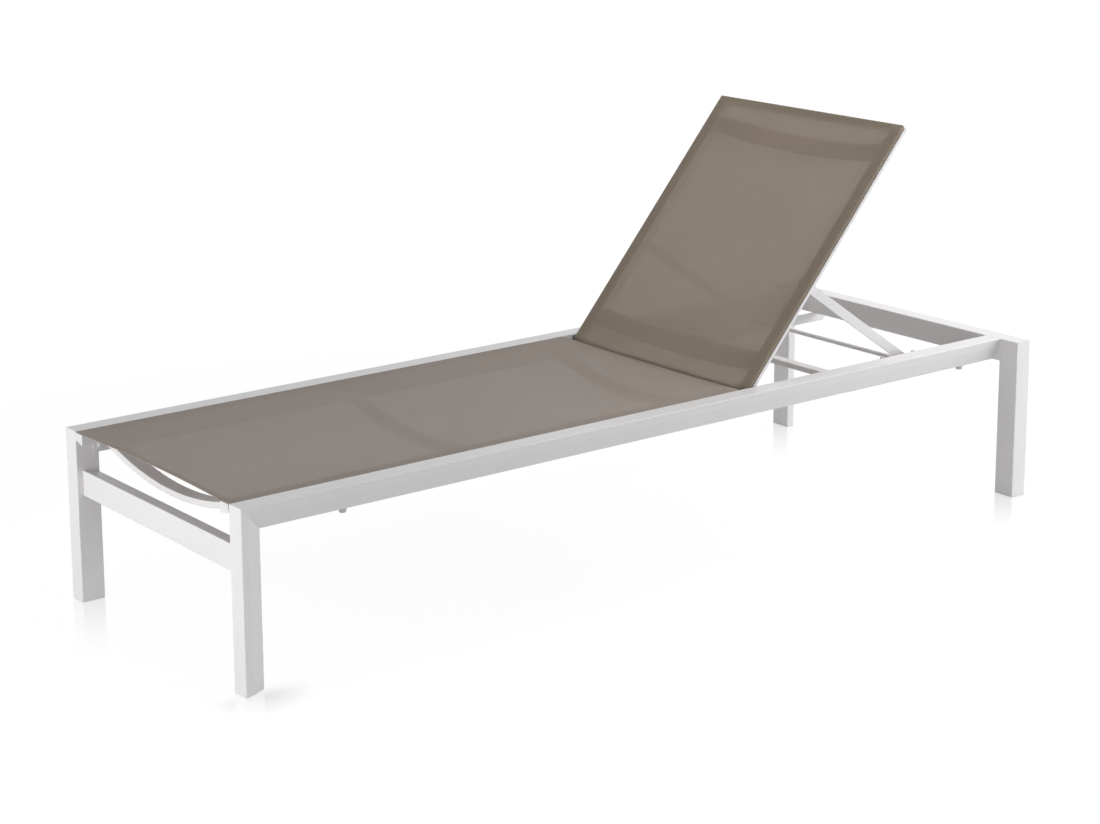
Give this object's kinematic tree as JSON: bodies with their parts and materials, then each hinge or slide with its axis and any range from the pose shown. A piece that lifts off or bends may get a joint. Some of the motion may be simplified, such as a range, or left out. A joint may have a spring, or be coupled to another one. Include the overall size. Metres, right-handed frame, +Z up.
{
  "type": "sun lounger",
  "caption": "Sun lounger with a faceted metal frame, a stretched mesh seat and a tilting mesh back propped by two struts over toothed racks.",
  "frame": {"origin": "on the floor under the middle of the lounger", "axes": "+X towards the head end, +Y towards the left side as seen from the foot end, +Z up"},
  "size_m": [1.9793, 0.756, 0.8447],
  "materials": {
    "frame": "white powder coating",
    "mesh": "woven coated mesh",
    "white_plastic": "matte",
    "grey_plastic": "matte",
    "steel": "zinc plated"
  },
  "bodies": {
    "frame": {"rail_left": "frame", "rail_right": "frame", "foot_leg_left": "frame", "foot_leg_right": "frame", "head_leg_left": "frame", "head_leg_right": "frame", "head_bar": "frame", "foot_bar": "frame", "cross_member": "frame", "rack_left": "frame", "rack_right": "frame", "seat_tube_left": "frame", "seat_tube_right": "frame", "seat_caps_foot": "white_plastic", "seat_caps_head": "white_plastic", "seat_bow_foot": "frame", "seat_bow_middle": "frame", "seat_bow_head": "frame", "seat_mesh": "mesh", "seat_welt_left": "mesh", "seat_welt_right": "mesh", "seat_clips_left": "frame", "seat_clips_right": "frame", "clip_screws": "steel", "leg_plug_foot_left": "white_plastic", "leg_plug_foot_right": "white_plastic", "leg_plug_head_left": "white_plastic", "leg_plug_head_right": "white_plastic", "stack_buffers": "grey_plastic", "hinge_bolt_left": "steel", "hinge_bolt_right": "steel", "hinge_washer_left": "grey_plastic", "hinge_washer_right": "grey_plastic"},
    "back": {"back_tube_left": "frame", "back_tube_right": "frame", "back_top_tube": "frame", "back_bow_upper": "frame", "back_bow_lower": "frame", "back_mesh": "mesh", "back_welt_left": "mesh", "back_welt_right": "mesh", "back_welt_top": "mesh", "back_hinge_block_left": "grey_plastic", "back_hinge_block_right": "grey_plastic", "back_caps_top": "white_plastic", "strut_bolt_left": "steel", "strut_bolt_right": "steel", "strut_bush_left": "grey_plastic", "strut_bush_right": "grey_plastic"},
    "prop": {"strut_left": "frame", "strut_right": "frame", "prop_rod": "frame"}
  },
  "joints": [
    {"name": "back_hinge", "type": "hinge", "parent": "frame", "child": "back", "pos_m": [0.257, 0, 0.338], "axis": [0, -1, 0], "range_deg": [-49.2, 16.2]},
    {"name": "strut_hinge", "type": "hinge", "parent": "back", "child": "prop", "pos_m": [0.43263, 0, 0.53382], "axis": [0, -1, 0], "range_deg": [-26.46, 79.94]}
  ],
  "couplings": [
    {"joint": "strut_hinge", "follows": "back_hinge", "ratio": -1.6207}
  ]
}
